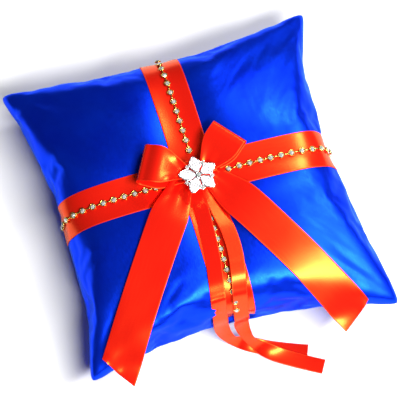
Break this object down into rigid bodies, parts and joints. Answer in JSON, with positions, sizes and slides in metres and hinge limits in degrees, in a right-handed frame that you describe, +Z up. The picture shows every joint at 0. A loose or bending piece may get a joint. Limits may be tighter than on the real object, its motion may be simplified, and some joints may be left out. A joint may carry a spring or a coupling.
{
  "type": "ring bearer pillow",
  "caption": "Square eared satin cushion with two crossed ribbons, chains of set stones, a bow, a flower brooch and a narrow ribbon for tying rings on.",
  "frame": {"origin": "middle of the flat underside, on the surface the pillow lies on", "axes": "+Z up through the bow; +X to the right-hand side; +Y to the top edge, -Y to the front edge that the ribbon ends fall over"},
  "size_m": [0.204, 0.2323, 0.0703],
  "materials": {
    "blue_satin": "glossy woven satin",
    "fibre_filling": "loose polyester fibre",
    "red_satin": "glossy satin ribbon with a woven edge",
    "red_thread": "twisted sewing thread",
    "gold_cups": "polished plate",
    "silver_setting": "polished rhodium plate",
    "cut_stones": "faceted glass stones"
  },
  "bodies": {
    "pillow": {"band_crosswise": "red_satin", "band_lengthwise": "red_satin", "bow_knot": "red_satin", "bow_loop_left": "red_satin", "bow_loop_right": "red_satin", "bow_tails_centre": "red_satin", "brooch_centre_stone": "cut_stones", "brooch_petal_1": "silver_setting", "brooch_petal_2": "silver_setting", "brooch_petal_3": "silver_setting", "brooch_petal_4": "silver_setting", "brooch_petal_5": "silver_setting", "brooch_plate": "silver_setting", "brooch_shank": "silver_setting", "brooch_stone_1": "cut_stones", "brooch_stone_2": "cut_stones", "brooch_stone_3": "cut_stones", "brooch_stone_4": "cut_stones", "brooch_stone_5": "cut_stones", "chain_left": "gold_cups", "chain_lower": "gold_cups", "chain_right": "gold_cups", "chain_upper": "gold_cups", "cover_back": "blue_satin", "cover_front": "blue_satin", "filling": "fibre_filling", "gather_thread": "red_thread", "ring_tie_centre": "red_satin", "tack_thread": "red_thread"},
    "tail_left": {"bow_tail_left": "red_satin"},
    "tail_right": {"bow_tail_right": "red_satin"},
    "ring_tie_left": {"ring_tie_left": "red_satin"},
    "ring_tie_right": {"ring_tie_right": "red_satin"}
  },
  "joints": [
    {"name": "tail_left_lift", "type": "hinge", "parent": "pillow", "child": "tail_left", "pos_m": [-0.03028, -0.02592, 0.05812], "axis": [-0.832, 0.5548, 0], "range_deg": [0, 50]},
    {"name": "tail_right_lift", "type": "hinge", "parent": "pillow", "child": "tail_right", "pos_m": [0.02693, -0.02659, 0.05829], "axis": [-0.8536, -0.521, 0], "range_deg": [0, 50]},
    {"name": "ring_tie_lift", "type": "hinge", "parent": "pillow", "child": "ring_tie_left", "pos_m": [0, -0.03115, 0.05717], "axis": [-1, 0, 0], "range_deg": [0, 40]},
    {"name": "ring_tie_part", "type": "hinge", "parent": "ring_tie_left", "child": "ring_tie_right", "pos_m": [0, -0.03115, 0.05717], "axis": [-1, 0, 0], "range_deg": [0, 40]}
  ]
}
